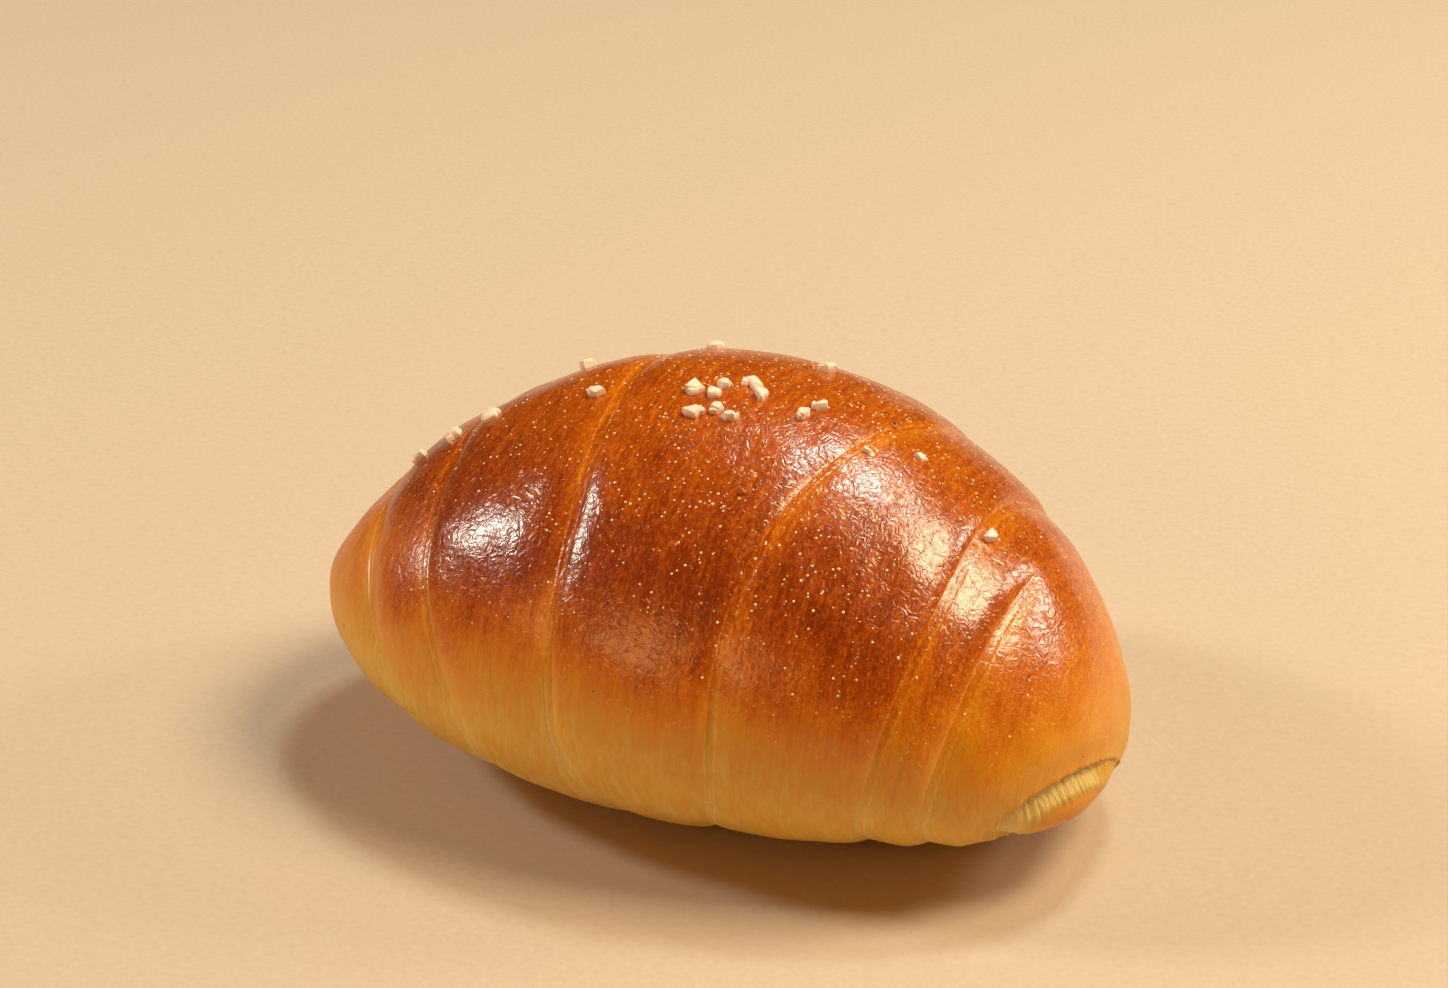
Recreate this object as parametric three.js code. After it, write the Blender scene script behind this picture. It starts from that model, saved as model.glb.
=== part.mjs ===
// A butter roll: a long dough triangle rolled up from its wide end, baked as one piece, with coarse
// salt on its crown. Millimetres, +Z up. +X runs along the roll towards the end where the core of the
// dough shows under the last wrap, and -Y is the front. The origin is the middle of the flat base.
import * as THREE from 'three';
import { ConvexGeometry } from 'three/addons/geometries/ConvexGeometry.js';

// Overall size of the roll
const LENGTH = 120;
const WIDTH = 85.4;
const HEIGHT = 59.5;

// The fattest section, the height of the widest line there and at each end, and how far both ends
// bend towards the front
const BULGE_X = -2.3;
const BELLY_Z = 23;
const LEFT_TIP_Z = 23.8;
const RIGHT_TIP_Z = 14;
const BEND = 8;

// How far the round underside would reach below the surface that pressed it flat
const BASE_SINK = 1.5;

// How square a section is above and below its widest line: 2 is an ellipse
const SQUARE_ABOVE = 1.8;
const SQUARE_BELOW = 2.3;

// How each outline closes from the fattest section to a tip: (1 - t^power)^(1 / root)
const LEFT_PLAN = { power: 1.88, root: 1.82 };
const RIGHT_PLAN = { power: 1.8, root: 2.28 };
const LEFT_CROWN = { power: 1.88, root: 1.42 };
const RIGHT_CROWN = { power: 1.8, root: 1.88 };
const BELLY = { power: 1.81, root: 2.18 };

// Creases between the wraps: depth, width of the rounded upper wrap, width of the lower wrap's rise
const CREASE_DEPTH = 1.0;
const CREASE_SHOULDER = 4.5;
const CREASE_RISE = 9;

// Edges of the dough as it winds outward: [degrees wound from the underside, distance from the middle
// as a share of the half length]. The front is at 90 degrees and the crown at 180.
const LEFT_EDGE = [
  [0, -0.1], [60, 0.07], [70, 0.135], [110, 0.185], [180, 0.258], [300, 0.32], [425, 0.365],
  [440, 0.435], [490, 0.6], [525, 0.648], [640, 0.64], [790, 0.625], [840, 0.765], [885, 0.84],
  [925, 0.86],
];
const RIGHT_EDGE = [
  [0, 0.08], [60, 0.185], [84, 0.218], [118, 0.188], [150, 0.245], [168, 0.305], [184, 0.4],
  [210, 0.435], [300, 0.48], [430, 0.53], [500, 0.632], [560, 0.66], [795, 0.66], [840, 0.73],
  [910, 0.79],
];
const EDGE_FADE = 40;

// The last wrap ends in a lip, cut by a slanting plane short of the right tip. Under it the torn
// dough is set back, and the core of the roll swells out again below.
const LIP_NORMAL = new THREE.Vector3(0.775, -0.35, -0.527).normalize();
const LIP_BEFORE_TIP = 1;
const LIP_DEPTH = 2.2;
const LIP_SHOULDER = 1.6;
const TORN_WIDTH = 2.4;

const LEFT_TIP = new THREE.Vector3(-LENGTH / 2, -BEND, LEFT_TIP_Z);
const RIGHT_TIP = new THREE.Vector3(LENGTH / 2, -BEND, RIGHT_TIP_Z);

// Coarse salt: [x, degrees around, length, width, turn in degrees], lying on the crust with a gap
const GRAIN_GAP = 0.3;
const GRAIN_HEIGHT = 0.75;
const GRAIN_CHIP = 0.26;
const GRAINS = [
  [-47.1, 172, 2.2, 1.7, 20], [-42.1, 173.6, 2.3, 1.7, 65], [-36.4, 174.6, 2.3, 1.9, 10],
  [-19.1, 170.7, 2.2, 1.8, 15], [-4.7, 172.7, 2.4, 2.2, 120], [-1.7, 172.2, 1.8, 1.6, 60],
  [-1, 175.8, 1.8, 1.2, 24], [2.2, 178.4, 2.6, 2.3, 0], [4.7, 175.4, 2.1, 1.5, 110],
  [-2.5, 165.6, 2.5, 1.7, 20], [0.1, 167.8, 1.7, 1.5, 80], [2.5, 166.6, 2, 1.2, 30],
  [11.2, 173.4, 1.8, 1.6, 60], [12.6, 177.6, 2, 1.3, 50], [21.8, 171.3, 1.8, 1.4, 140],
  [28.1, 178.2, 1.7, 1.3, 40], [40.3, 172.9, 2.3, 1.6, 95], [-27, 193, 2.4, 1.9, 70],
  [8, 197, 2.2, 1.7, 25], [-11, 204, 1.9, 1.6, 110],
];

// Fineness of the faceted solid
const STATIONS = 84;
const AROUND = 44;

const CRUST = new THREE.MeshStandardMaterial({ color: 0xb8621b, roughness: 0.35, metalness: 0 });
const SALT = new THREE.MeshStandardMaterial({ color: 0xf1dfc2, roughness: 0.45, metalness: 0 });

// Repeatable random numbers from 0 to 1
function seededRandom(seed) {
  let state = seed;
  return () => {
    state = (Math.imul(state, 1664525) + 1013904223) >>> 0;
    return state / 4294967296;
  };
}

function smoothStep(from, to, value) {
  const t = Math.min(1, Math.max(0, (value - from) / (to - from)));
  return t * t * (3 - 2 * t);
}

function closing(t, { power, root }) {
  return Math.pow(Math.max(0, 1 - Math.pow(t, power)), 1 / root);
}

// The smooth body without creases. The underside may lie below zero here.
function envelope(x, around) {
  const left = x < BULGE_X;
  const t = (x - BULGE_X) / ((left ? -LENGTH : LENGTH) / 2 - BULGE_X);
  const halfWidth = (WIDTH / 2) * closing(t, left ? LEFT_PLAN : RIGHT_PLAN);
  const widestZ = BELLY_Z + ((left ? LEFT_TIP_Z : RIGHT_TIP_Z) - BELLY_Z) * t * t;
  const above = (HEIGHT - widestZ) * closing(t, left ? LEFT_CROWN : RIGHT_CROWN);
  const below = (widestZ + BASE_SINK) * closing(t, BELLY);
  const out = Math.sin(around);
  const up = -Math.cos(around);
  const square = up > 0 ? SQUARE_ABOVE : SQUARE_BELOW;
  const reach = (Math.abs(out) ** square + Math.abs(up) ** square) ** (-1 / square);
  const y = -halfWidth * out * reach - BEND * (x / (LENGTH / 2)) ** 2;
  return new THREE.Vector3(x, y, widestZ + up * reach * (up > 0 ? above : below));
}

// Where a dough edge lies after it has wound through the given degrees
function edgeStation(edge, wound) {
  const next = Math.max(1, edge.findIndex(([angle]) => angle >= wound));
  const [angle0, share0] = edge[next - 1];
  const [angle1, share1] = edge[next];
  return (LENGTH / 2) * (share0 + ((share1 - share0) * (wound - angle0)) / (angle1 - angle0));
}

// Depth below the envelope at a distance past an edge: a rounded shoulder before it, a slow rise after
function creaseDepth(past) {
  if (past < -CREASE_SHOULDER || past > CREASE_RISE) return 0;
  if (past > 0) return CREASE_DEPTH * (1 - past / CREASE_RISE) ** 2;
  return CREASE_DEPTH * (1 - Math.sqrt(1 - (1 + past / CREASE_SHOULDER) ** 2));
}

function wrapDepth(x, around) {
  let depth = 0;
  for (const [edge, side] of [[LEFT_EDGE, -1], [RIGHT_EDGE, 1]]) {
    const last = edge[edge.length - 1][0];
    for (let wound = THREE.MathUtils.radToDeg(around); wound <= last; wound += 360) {
      const fade = smoothStep(0, EDGE_FADE, wound) * smoothStep(last, last - EDGE_FADE, wound);
      depth = Math.max(depth, fade * creaseDepth(side * x - edgeStation(edge, wound)));
    }
  }
  return depth;
}

// Depth at the lip, by the distance past its plane
function lipDepth(point) {
  const past = LIP_NORMAL.dot(point) - LIP_NORMAL.dot(RIGHT_TIP) + LIP_BEFORE_TIP;
  return LIP_DEPTH * Math.exp(-((past / (past > 0 ? TORN_WIDTH : LIP_SHOULDER)) ** 2));
}

function outwardNormal(x, around) {
  const step = 0.01;
  const along = envelope(x + step, around).sub(envelope(x - step, around));
  const round = envelope(x, around + step).sub(envelope(x, around - step));
  return along.cross(round).normalize();
}

function surfacePoint(x, around) {
  const point = envelope(x, around);
  const depth = Math.max(wrapDepth(x, around), lipDepth(point));
  point.addScaledVector(outwardNormal(x, around), -depth);
  point.z = Math.max(0, point.z);
  return point;
}

// Rings of points from tip to tip, closer together towards the tips
function rollGeometry() {
  const rightTip = RIGHT_TIP.clone();
  rightTip.x -= lipDepth(RIGHT_TIP);
  const points = [LEFT_TIP];
  for (let i = 1; i < STATIONS; i += 1) {
    const x = (-LENGTH / 2) * Math.cos((Math.PI * i) / STATIONS);
    for (let j = 0; j < AROUND; j += 1) points.push(surfacePoint(x, (2 * Math.PI * j) / AROUND));
  }
  points.push(rightTip);

  const ring = (i, j) => 1 + (i - 1) * AROUND + (j % AROUND);
  const faces = [];
  for (let j = 0; j < AROUND; j += 1) {
    faces.push(0, ring(1, j), ring(1, j + 1));
    faces.push(points.length - 1, ring(STATIONS - 1, j + 1), ring(STATIONS - 1, j));
    for (let i = 1; i < STATIONS - 1; i += 1) {
      faces.push(ring(i, j), ring(i + 1, j), ring(i + 1, j + 1));
      faces.push(ring(i, j), ring(i + 1, j + 1), ring(i, j + 1));
    }
  }
  const geometry = new THREE.BufferGeometry().setFromPoints(points);
  geometry.setIndex(faces);
  geometry.computeVertexNormals();
  return geometry;
}

// A flat-bottomed block of salt with its corners chipped and its top worn to a ridge
function grainGeometry(length, width, random) {
  const height = GRAIN_HEIGHT * width;
  const chip = () => 0.5 * (1 - GRAIN_CHIP * random());
  const corners = [];
  for (const side of [[-1, -1], [1, -1], [1, 1], [-1, 1]]) {
    for (const level of [0, 0.45, 0.85]) {
      const taper = 1 - GRAIN_CHIP * level * random();
      corners.push(new THREE.Vector3(
        side[0] * length * chip() * taper,
        side[1] * width * chip() * taper,
        height * level,
      ));
    }
  }
  corners.push(new THREE.Vector3(length * 0.2 * (random() - 0.5), width * 0.2 * (random() - 0.5), height));
  return new ConvexGeometry(corners);
}

function saltGrain(number, [x, degrees, length, width, turn], random) {
  const grain = new THREE.Mesh(grainGeometry(length, width, random), SALT);
  const around = THREE.MathUtils.degToRad(degrees);
  const normal = outwardNormal(x, around);
  grain.name = `salt_grain_${String(number).padStart(2, '0')}`;
  grain.quaternion.setFromUnitVectors(new THREE.Vector3(0, 0, 1), normal);
  grain.rotateZ(THREE.MathUtils.degToRad(turn));
  grain.position.copy(surfacePoint(x, around)).addScaledVector(normal, GRAIN_GAP);
  return grain;
}

const roll = new THREE.Mesh(rollGeometry(), CRUST);
roll.name = 'bread_roll';

const random = seededRandom(7);
const group = new THREE.Group();
group.add(roll, ...GRAINS.map((grain, i) => saltGrain(i + 1, grain, random)));

// Stand the roll on its base, with the middle of its outline over the origin
const box = new THREE.Box3().setFromObject(group);
const centre = box.getCenter(new THREE.Vector3());
group.position.set(-centre.x, -centre.y, -box.min.z);

export default group;
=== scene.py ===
# %% [markdown]
# # A salted butter roll
# A baker rolls a long triangle of buttered dough from its wide end, lets it rise, brushes it with
# egg and bakes it with coarse salt on top. The egg wash gives a glossy skin that is dark amber on
# the crown and pale by the tray, and every wrap of the dough leaves a shallow crease.
# This lesson builds that skin as one fine mesh, then gives it a crust material and its salt.

# %% Load the frame
import math
import random

import bmesh
import bpy
import numpy as np
from mathutils import Matrix, Vector
from mathutils.bvhtree import BVHTree


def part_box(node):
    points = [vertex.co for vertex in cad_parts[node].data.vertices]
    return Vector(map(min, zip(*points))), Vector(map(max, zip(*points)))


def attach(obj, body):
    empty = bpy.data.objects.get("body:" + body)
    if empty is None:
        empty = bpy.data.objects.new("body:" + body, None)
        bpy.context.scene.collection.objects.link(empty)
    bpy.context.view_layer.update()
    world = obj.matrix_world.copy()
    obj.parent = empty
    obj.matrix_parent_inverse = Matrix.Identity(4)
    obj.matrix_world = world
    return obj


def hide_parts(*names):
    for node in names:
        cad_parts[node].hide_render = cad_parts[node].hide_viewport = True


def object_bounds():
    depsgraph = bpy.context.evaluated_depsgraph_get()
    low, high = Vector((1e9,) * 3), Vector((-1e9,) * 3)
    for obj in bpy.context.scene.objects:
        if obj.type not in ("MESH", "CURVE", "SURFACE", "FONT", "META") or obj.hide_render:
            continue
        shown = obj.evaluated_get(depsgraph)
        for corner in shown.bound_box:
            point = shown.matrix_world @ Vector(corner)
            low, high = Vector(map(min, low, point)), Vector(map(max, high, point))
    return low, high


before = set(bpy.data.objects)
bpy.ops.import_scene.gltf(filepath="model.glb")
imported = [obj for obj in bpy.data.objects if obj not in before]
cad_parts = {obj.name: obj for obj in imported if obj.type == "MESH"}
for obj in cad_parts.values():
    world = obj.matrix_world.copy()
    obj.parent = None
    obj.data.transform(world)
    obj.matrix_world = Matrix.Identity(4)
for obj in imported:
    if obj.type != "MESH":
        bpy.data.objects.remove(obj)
cad_low, cad_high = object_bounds()
MM = 0.001
print("CAD box, mm:", [round(v / MM, 1) for v in (*cad_low, *cad_high)])

# %% [markdown]
# ## Camera
# A short telephoto looks down on the roll from the front right, so the crown, the front flank and
# the lip at the right end all show. A look-at built from an angle and a distance is easier to
# read and to change than a rotation typed in by hand.

# %% Camera
VIEW_AZIMUTH = math.radians(23.0)
VIEW_ELEVATION = math.radians(28.5)
VIEW_DISTANCE = 493.2 * MM
VIEW_FROM_POINT = Vector((0.34, 0.0, 27.0)) * MM
VIEW_AIM = Vector((-4.24, 4.5, 37.9)) * MM

towards_camera = Vector((
    math.sin(VIEW_AZIMUTH) * math.cos(VIEW_ELEVATION),
    -math.cos(VIEW_AZIMUTH) * math.cos(VIEW_ELEVATION),
    math.sin(VIEW_ELEVATION),
))
camera = bpy.data.objects.new("camera", bpy.data.cameras.new("camera"))
bpy.context.scene.collection.objects.link(camera)
camera.data.lens = 85
camera.data.sensor_width = 36
camera.data.clip_start = 0.01
camera.location = VIEW_FROM_POINT + towards_camera * VIEW_DISTANCE
camera.rotation_euler = (VIEW_AIM - camera.location).to_track_quat("-Z", "Y").to_euler()
bpy.context.scene.camera = camera
print("camera at, mm:", [round(v / MM) for v in camera.location])

# %% [markdown]
# ## Node helpers
# Materials are small programs. They can be wired by hand in the shader editor, but a few helpers
# keep them short enough to read: they add a node and wire or set its sockets by name, do
# arithmetic, mix two colours, and make or place a group.

# %% Node helpers
def add_node(tree, kind, sockets=None, **settings):
    """Adds a node. A socket's value may be a number, a colour or another node's output."""
    made = tree.nodes.new(kind)
    for name, value in settings.items():
        setattr(made, name, value)
    for name, value in (sockets or {}).items():
        if isinstance(value, bpy.types.NodeSocket):
            tree.links.new(value, made.inputs[name])
        else:
            made.inputs[name].default_value = value
    return made


def maths(tree, operation, first, second=0.0, third=0.0, clamp=False):
    """One arithmetic node; returns its output."""
    sockets = {0: first, 1: second, 2: third}
    return add_node(tree, "ShaderNodeMath", sockets, operation=operation, use_clamp=clamp).outputs[0]


def ramp_up(tree, value, low, high, most=1.0):
    """Rises softly from 0 to its most while a value goes from low to high."""
    sockets = {"Value": value, "From Min": low, "From Max": high, "To Max": most}
    return add_node(tree, "ShaderNodeMapRange", sockets, interpolation_type="SMOOTHSTEP").outputs[0]


def blend_colour(tree, share, first, second):
    """Mixes two colours by a share from 0 to 1; returns the colour."""
    mix = add_node(tree, "ShaderNodeMix", data_type="RGBA")
    sockets = [s for s in mix.inputs if s.enabled and s.type in ("VALUE", "RGBA")]
    for socket, value in zip(sockets, (share, first, second)):
        if isinstance(value, bpy.types.NodeSocket):
            tree.links.new(value, socket)
        else:
            socket.default_value = value
    return next(s for s in mix.outputs if s.enabled)


def new_group(name, inputs, outputs):
    """A shader node group with float or vector inputs and outputs, and its two end nodes."""
    tree = bpy.data.node_groups.new(name, "ShaderNodeTree")
    for label, kind, default in inputs:
        socket = tree.interface.new_socket(label, in_out="INPUT", socket_type=kind)
        if default is not None:
            socket.default_value = default
    for label, kind in outputs:
        tree.interface.new_socket(label, in_out="OUTPUT", socket_type=kind)
    return tree, tree.nodes.new("NodeGroupInput"), tree.nodes.new("NodeGroupOutput")


def use_group(tree, group, sockets=None):
    """Places a group in a material and sets its inputs."""
    return add_node(tree, "ShaderNodeGroup", sockets, node_tree=group)


def new_material(name):
    """A material with its Principled shader, ready for more nodes."""
    material = bpy.data.materials.new(name)
    material.use_nodes = True
    return material, material.node_tree, material.node_tree.nodes["Principled BSDF"]


print("helpers:", ", ".join(f.__name__ for f in (add_node, maths, ramp_up, blend_colour, use_group)))

# %% [markdown]
# ## Studio floor
# A pale sheet of paper lies under the roll and catches its shadow. It could be a curved backdrop,
# but one large flat sheet with a soft fibre colour is enough here. It is stage and not part.

# %% Floor
FLOOR_SIDE = 6.0
FIBRES_PER_M = 900.0
PAPER_COLOURS = ((0.58, 0.435, 0.34, 1), (0.68, 0.525, 0.42, 1))


def paper_material():
    material, tree, shader = new_material("pale_paper")
    place = add_node(tree, "ShaderNodeTexCoord").outputs["Object"]
    fibre = add_node(tree, "ShaderNodeTexNoise", {"Vector": place, "Scale": FIBRES_PER_M, "Detail": 3.0})
    colour = blend_colour(tree, fibre.outputs[0], *PAPER_COLOURS)
    tree.links.new(colour, shader.inputs["Base Color"])
    shader.inputs["Roughness"].default_value = 0.9
    shader.inputs["Specular IOR Level"].default_value = 0.2
    return material


half = FLOOR_SIDE / 2
floor_corners = [(-half, -half, 0), (half, -half, 0), (half, half, 0), (-half, half, 0)]
floor_mesh = bpy.data.meshes.new("floor")
floor_mesh.from_pydata(floor_corners, [], [(0, 1, 2, 3)])
floor = bpy.data.objects.new("floor", floor_mesh)
bpy.context.scene.collection.objects.link(floor)
floor.data.materials.append(paper_material())
print("floor is", FLOOR_SIDE, "m wide")

# %% [markdown]
# ## Lights
# The key stands high on the right, so a short soft shadow falls to the left. A window behind puts
# the shine on the crown; small windows on the right and the left and a low warm one in front put
# glints on the flanks. They are rectangles and not points, because egg wash mirrors their shape.
# A dim warm surround stands for the room.

# %% Lights
SURROUND_COLOUR = (1.0, 0.5, 0.13, 1)
SURROUND_STRENGTH = 0.155


def softbox(name, azimuth, elevation, distance, size, watts, colour):
    """A rectangular light that faces the roll from an angle round it and above the floor."""
    light = bpy.data.lights.new(name, "AREA")
    light.shape = "RECTANGLE"
    light.size, light.size_y = size
    light.energy = watts
    light.color = colour
    lamp = bpy.data.objects.new(name, light)
    a, e = math.radians(azimuth), math.radians(elevation)
    direction = Vector((math.sin(a) * math.cos(e), -math.cos(a) * math.cos(e), math.sin(e)))
    target = Vector((0, 0, cad_high.z / 2))
    lamp.location = target + direction * distance
    lamp.rotation_euler = direction.to_track_quat("Z", "Y").to_euler()
    bpy.context.scene.collection.objects.link(lamp)


softbox("key", 111, 57, 1.1, (0.44, 0.38), 9.4, (1.0, 0.86, 0.56))
softbox("back_window", 166, 67, 1.1, (0.2, 0.16), 3.9, (0.82, 1.0, 0.9))
softbox("right_window", 124, 30, 1.0, (0.18, 0.18), 2.4, (0.94, 0.96, 0.76))
softbox("left_window", -77, 34, 1.0, (0.15, 0.15), 3.6, (1.0, 1.0, 0.86))
softbox("front_glow", -19, 27, 1.1, (0.4, 0.17), 1.35, (1.0, 0.62, 0.24))

world = bpy.data.worlds.new("studio")
world.use_nodes = True
surround = world.node_tree.nodes["Background"]
surround.inputs["Color"].default_value = SURROUND_COLOUR
surround.inputs["Strength"].default_value = SURROUND_STRENGTH
bpy.context.scene.world = world
bpy.context.scene.view_settings.view_transform = "Standard"

# %% [markdown]
# ## The smooth body
# Under its wraps the roll is a plump spindle, bent a little towards the front. Each section is a
# rounded oval with its own height, width and belly line, so two numbers describe every point: the
# station along the roll, and the turn around it from the underside over the front and the crown.
# Writing the body as a formula, instead of sculpting it, gives exact places for the dough edges.

# %% Body sizes, in mm
roll_low, roll_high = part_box("bread_roll")
LENGTH = 120.0
WIDTH = 85.4
HEIGHT = 59.5
BULGE_X = -2.3
BELLY_Z = 23.0
LEFT_TIP_Z = 23.8
RIGHT_TIP_Z = 14.0
BEND = 8.0
SQUARE_ABOVE = 1.8
SQUARE_BELOW = 2.3
BASE_SINK = 1.5
LEFT_PLAN = (1.88, 1.82)
RIGHT_PLAN = (1.8, 2.28)
LEFT_CROWN = (1.88, 1.42)
RIGHT_CROWN = (1.8, 1.88)
BELLY = (1.81, 2.18)


def smooth_step(low, high, value):
    t = np.clip((value - low) / (high - low), 0, 1)
    return t * t * (3 - 2 * t)


def closing(t, shape):
    """How far an outline still reaches at a share t of the way to the tip."""
    power, root = shape
    return np.clip(1 - t**power, 0, None) ** (1 / root)


def envelope(x, around):
    """Points of the smooth body for stations in mm and angles in radians."""
    left = x < BULGE_X
    t = (x - BULGE_X) / (np.where(left, -LENGTH / 2, LENGTH / 2) - BULGE_X)
    half_width = WIDTH / 2 * np.where(left, closing(t, LEFT_PLAN), closing(t, RIGHT_PLAN))
    widest_z = BELLY_Z + (np.where(left, LEFT_TIP_Z, RIGHT_TIP_Z) - BELLY_Z) * t * t
    above = (HEIGHT - widest_z) * np.where(left, closing(t, LEFT_CROWN), closing(t, RIGHT_CROWN))
    below = (widest_z + BASE_SINK) * closing(t, BELLY)
    out, up = np.sin(around), -np.cos(around)
    square = np.where(up > 0, SQUARE_ABOVE, SQUARE_BELOW)
    reach = (np.abs(out) ** square + np.abs(up) ** square) ** (-1 / square)
    y = -half_width * out * reach - BEND * (x / (LENGTH / 2)) ** 2
    z = widest_z + up * reach * np.where(up > 0, above, below)
    return np.stack([x, y, z], axis=-1)


def outward(x, around):
    """Unit normals of the smooth body."""
    step = 0.01
    along = envelope(x + step, around) - envelope(x - step, around)
    girth = envelope(x, around + step) - envelope(x, around - step)
    normal = np.cross(along, girth)
    return normal / np.linalg.norm(normal, axis=-1, keepdims=True)


print("crown height, mm:", round(float(envelope(np.array(BULGE_X), np.array(math.pi))[2]), 1))

# %% [markdown]
# ## Wraps
# Seen from a tip, the edge of the dough is a spiral that winds outward. Both long sides of the
# triangle do this, mirrored, so there are two edge lines. At each line the upper wrap ends in a
# rounded shoulder and the lower wrap rises again slowly: that lopsided valley reads as wound
# dough, where an even groove would read as a cut.

# %% Wrap edges
# A point of an edge is (degrees wound from the underside, distance from the middle as a share).
LEFT_EDGE = (
    (0, -0.1), (60, 0.07), (70, 0.135), (110, 0.185), (180, 0.258), (300, 0.32), (425, 0.365),
    (440, 0.435), (490, 0.6), (525, 0.648), (640, 0.64), (790, 0.625), (840, 0.765), (885, 0.84),
    (925, 0.86),
)
RIGHT_EDGE = (
    (0, 0.08), (60, 0.185), (84, 0.218), (118, 0.188), (150, 0.245), (168, 0.305), (184, 0.4),
    (210, 0.435), (300, 0.48), (430, 0.53), (500, 0.632), (560, 0.66), (795, 0.66), (840, 0.73),
    (910, 0.79),
)
EDGE_FADE = 40.0
EDGE_EASE = 16.0
CREASE_DEPTH = 1.0
CREASE_SHOULDER = 4.5
CREASE_RISE = 9.0
WINDINGS = 3
NO_EDGE_NEAR = 99.0
EDGE_GONE = 0.05


def edge_station(edge, wound):
    """Where an edge lies after winding through some degrees, with its corners eased."""
    angles, shares = np.array(edge).T
    shifts = EDGE_EASE * np.linspace(-1, 1, 5)
    eased = sum(np.interp(wound + shift, angles, shares) for shift in shifts)
    return LENGTH / 2 * eased / len(shifts)


def crease_profile(past):
    """Depth of a valley of depth 1, by the distance past the edge in mm."""
    shoulder = 1 - np.sqrt(np.clip(1 - np.clip(1 + past / CREASE_SHOULDER, 0, 1) ** 2, 0, 1))
    rise = np.clip(1 - past / CREASE_RISE, 0, 1) ** 2
    return np.where(past > 0, rise, shoulder)


def wrap_edges(x, around):
    """Crease depth as a share, distance past the nearest edge, and how strong that edge is."""
    depth = np.zeros_like(x)
    nearest = np.full_like(x, NO_EDGE_NEAR)
    nearest_fade = np.zeros_like(x)
    for edge, side in ((LEFT_EDGE, -1), (RIGHT_EDGE, 1)):
        last = edge[-1][0]
        for turn in range(WINDINGS):
            wound = np.degrees(around) + 360 * turn
            fade = smooth_step(0, EDGE_FADE, wound) * smooth_step(last, last - EDGE_FADE, wound)
            past = side * x - edge_station(edge, wound)
            depth = np.maximum(depth, fade * crease_profile(past))
            closer = (np.abs(past) < np.abs(nearest)) & (fade > EDGE_GONE)
            nearest = np.where(closer, past, nearest)
            nearest_fade = np.where(closer, fade, nearest_fade)
    return depth, nearest, nearest_fade


front_edges = [edge_station(RIGHT_EDGE, 90 + 360 * turn) for turn in range(WINDINGS)]
print("right edge passes the front at, mm:", np.round(front_edges, 1))

# %% [markdown]
# ## Lip
# At the right end the last wrap didn't close. Its edge lies in a slanting plane; below it the
# dough tore and stretched, and then the core of the roll swells out to the tray. A separate flap
# of mesh would show a seam, so the skin itself is folded here, by the distance past that plane: a
# rolled-over rim, a deep step, and a slow rise to the core.

# %% Lip sizes
LIP_NORMAL = np.array([0.775, -0.35, -0.527]) / np.linalg.norm([0.775, -0.35, -0.527])
LIP_BEFORE_TIP = 1.0
LIP_DEPTH = 1.9
LIP_SHOULDER = 1.6
LIP_OVERHANG = 0.45
LIP_RIM_DIP = 0.45
TORN_WIDTH = 2.4
RIGHT_TIP = np.array([LENGTH / 2, -BEND, RIGHT_TIP_Z])


def past_lip(points):
    """Signed distance past the lip's plane, in mm."""
    return points @ LIP_NORMAL - RIGHT_TIP @ LIP_NORMAL + LIP_BEFORE_TIP


def lip_depth(past):
    width = np.where(past > 0, TORN_WIDTH, LIP_SHOULDER)
    shoulder = np.where(past > 0, 1.0, LIP_RIM_DIP)
    return LIP_DEPTH * shoulder * np.exp(-((past / width) ** 2))


print("the lip's plane passes", LIP_BEFORE_TIP, "mm before the tip")

# %% [markdown]
# ## Uneven dough
# Risen dough is never perfectly even. Sculpting the dents by hand would fix them to one mesh, so
# a few long, gentle waves in space are added together. They swell and dent the skin by a fraction
# of a millimetre without any visible pattern.

# %% Uneven dough
SWELL = 0.26
SWELL_LENGTH = 26.0
RIPPLE = 0.05
RIPPLE_LENGTH = 7.0


def gentle_waves(points, wavelength, seed, count=9):
    """A smooth random field, mostly between -1 and 1, from sine waves in random directions."""
    draw = np.random.default_rng(seed)
    directions = draw.normal(size=(count, 3))
    directions /= np.linalg.norm(directions, axis=1, keepdims=True)
    lengths = wavelength * draw.uniform(0.75, 1.4, count)
    phases = draw.uniform(0, 2 * math.pi, count)
    angles = points @ (directions.T * (2 * math.pi / lengths)) + phases
    return np.sin(angles).sum(axis=-1) / math.sqrt(count)


print("swell of", SWELL, "mm every", SWELL_LENGTH, "mm")

# %% [markdown]
# ## Torn strip
# Under the lip the dough stretched until its skin split. What shows is pale crumb, pulled into
# short strands that bridge the gap. Loose hairs would be too fine to hold, so the strands are
# ridges across the strip. They need a coordinate along it: the direction that lies both in the
# lip's plane and in the skin.

# %% Torn strip
TORN_STATION = 56.5
TORN_TURN = math.radians(101)
TORN_REACH = 8.5
TORN_REACH_FADE = 3.0
TORN_BEGINS = (-0.15, 0.3)
TORN_ENDS = (3.1, 2.2)
STRAND_HEIGHT = 0.13
STRAND_LENGTH = 1.1
STRAND_WAVES = 5
LIP_CLOSED = 0.3
LIP_CLOSING = 3.5
LIP_OPENING = 0.5
torn_centre = envelope(np.array(TORN_STATION), np.array(TORN_TURN))
torn_facing = outward(np.array(TORN_STATION), np.array(TORN_TURN))
torn_along = np.cross(LIP_NORMAL, torn_facing)
torn_along /= np.linalg.norm(torn_along)
LIP_END = float(np.sign(torn_along @ (1.0, 0.4, 0.0)))


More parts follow.
